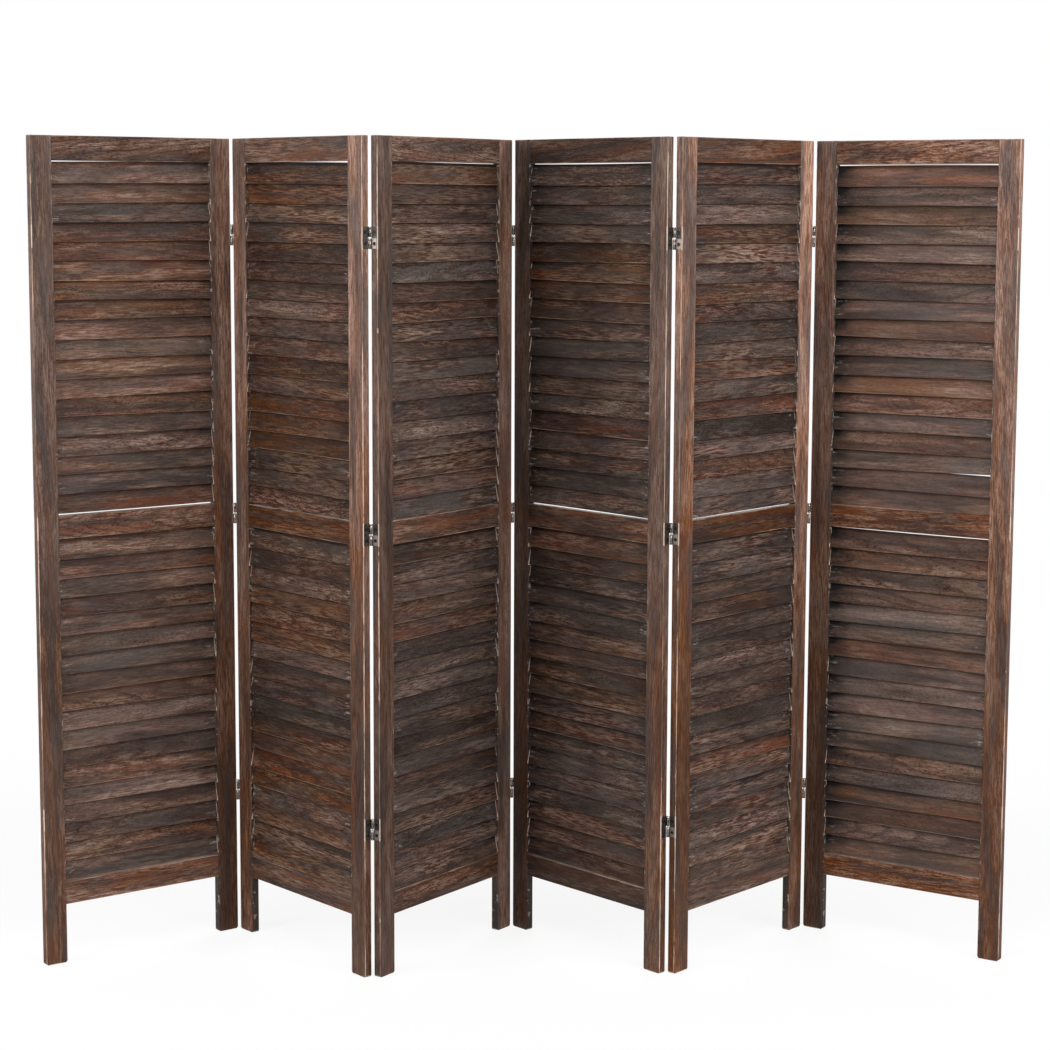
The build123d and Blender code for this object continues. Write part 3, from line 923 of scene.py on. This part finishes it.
screw_holder = bpy.data.objects.new("screw_form", screw_form)
bpy.context.scene.collection.objects.link(screw_holder)
for number, places in hinge_places.items():
    side = 1 if number % 2 else -1
    screw_x = side * (panel_edge + leaf_thickness - screw_sink)
    spots = [place @ Vector((screw_x, screw_depth, rise)) for place in places for rise in screw_offsets]
    ways = [place.to_3x3() @ Vector((side, 0, 0)) for place in places for rise in screw_offsets]
    start = bpy.data.meshes.new("screw_spots")
    start.from_pydata(spots, [], [])
    way = start.attributes.new("way_out", "FLOAT_VECTOR", "POINT")
    way.data.foreach_set("vector", [axis for out in ways for axis in out])
    screw_values = {"Screw": screw_holder, "Seed": number, "Black": blacked}
    piece = run_tree(screw_tree, screw_sockets, screw_values, start, f"panel_{number}_screws", number)
bpy.data.objects.remove(screw_holder)

# Studio. A pale floor that runs out to a white surround, two soft lights at the left, a broad one
# at the right, one overhead and one behind. The camera stands five metres off.
floor_reach = 2.7
ground = bpy.data.meshes.new("floor")
corners = [(x * floor_reach, y * floor_reach, 0) for x, y in ((-1, -1), (1, -1), (1, 1), (-1, 1))]
ground.from_pydata(corners, [], [(0, 1, 2, 3)])
floor = bpy.data.objects.new("floor", ground)
bpy.context.scene.collection.objects.link(floor)


def seen_directly(tree):
    """1 for what the camera sees, also in metal and through glass, and 0 for light that falls on the part."""
    rays = put(tree, "ShaderNodeLightPath").outputs
    in_metal_or_glass = larger(tree, rays["Is Glossy Ray"], rays["Is Transmission Ray"])
    return larger(tree, rays["Is Camera Ray"], in_metal_or_glass)


pale = new_finish("pale_floor")
tree = pale.node_tree
shader = tree.nodes["Principled BSDF"]
shader.inputs["Base Color"].default_value = (0.86, 0.86, 0.86, 1)
shader.inputs["Roughness"].default_value = 0.9
white = put(tree, "ShaderNodeEmission", {"Color": (1, 1, 1, 1), "Strength": 1.0})
whitening = {0: times(tree, seen_directly(tree), 0.86), 1: shader.outputs[0], 2: white.outputs[0]}
whitened = put(tree, "ShaderNodeMixShader", whitening)
spot = put(tree, "ShaderNodeTexCoord").outputs["Object"]
away = put(tree, "ShaderNodeVectorMath", {0: spot}, operation="LENGTH").outputs["Value"]
clear = put(tree, "ShaderNodeBsdfTransparent")
fading = {0: spread(tree, away, 1.3, 2.6), 1: whitened.outputs[0], 2: clear.outputs[0]}
faded = put(tree, "ShaderNodeMixShader", fading)
tree.links.new(faded.outputs[0], tree.nodes["Material Output"].inputs[0])
ground.materials.append(pale)

surround = bpy.data.worlds.new("studio")
bpy.context.scene.world = surround
surround.use_nodes = True
tree = surround.node_tree
shader = tree.nodes["Background"]
shader.inputs["Color"].default_value = (1, 1, 1, 1)
tree.links.new(scaled(tree, seen_directly(tree), 0.76, 0.24), shader.inputs["Strength"])


def soft_light(name, place, aim, width, height, power):
    lamp = bpy.data.lights.new(name, "AREA")
    lamp.shape = "RECTANGLE"
    lamp.size = width
    lamp.size_y = height
    lamp.energy = power
    holder = bpy.data.objects.new(name, lamp)
    holder.location = place
    holder.rotation_euler = (Vector(aim) - Vector(place)).to_track_quat("-Z", "Y").to_euler()
    bpy.context.scene.collection.objects.link(holder)


soft_light("left_near", (-3.2, -2.7, 2.2), (0, 0, 1.0), 0.9, 1.4, 80)
soft_light("left_far", (-3.9, -1.45, 1.9), (0, 0, 1.1), 0.9, 1.2, 61)
soft_light("right_wall", (3.1, -2.5, 2.0), (0, 0, 1.1), 2.6, 1.3, 130)
soft_light("top_fill", (0.0, -3.0, 4.4), (0, 0, 0.9), 3.0, 1.5, 95)
soft_light("back_fill", (0.5, 4.0, 2.3), (0, 0, 0.9), 3.0, 1.6, 90)

lens = bpy.data.cameras.new("camera")
lens.lens = 86.59
lens.sensor_width = 36.0
lens.clip_end = 60.0
camera = bpy.data.objects.new("camera", lens)
camera.location = (-0.0027, -5.1895, 1.5761)
camera.rotation_mode = "QUATERNION"
pitched = Matrix.Rotation(radians(82.653), 4, "X")
rolled = Matrix.Rotation(radians(0.199), 4, "Z")
camera.rotation_quaternion = (pitched @ rolled).to_quaternion()
bpy.context.scene.collection.objects.link(camera)
bpy.context.scene.camera = camera
bpy.context.scene.view_settings.view_transform = "Standard"
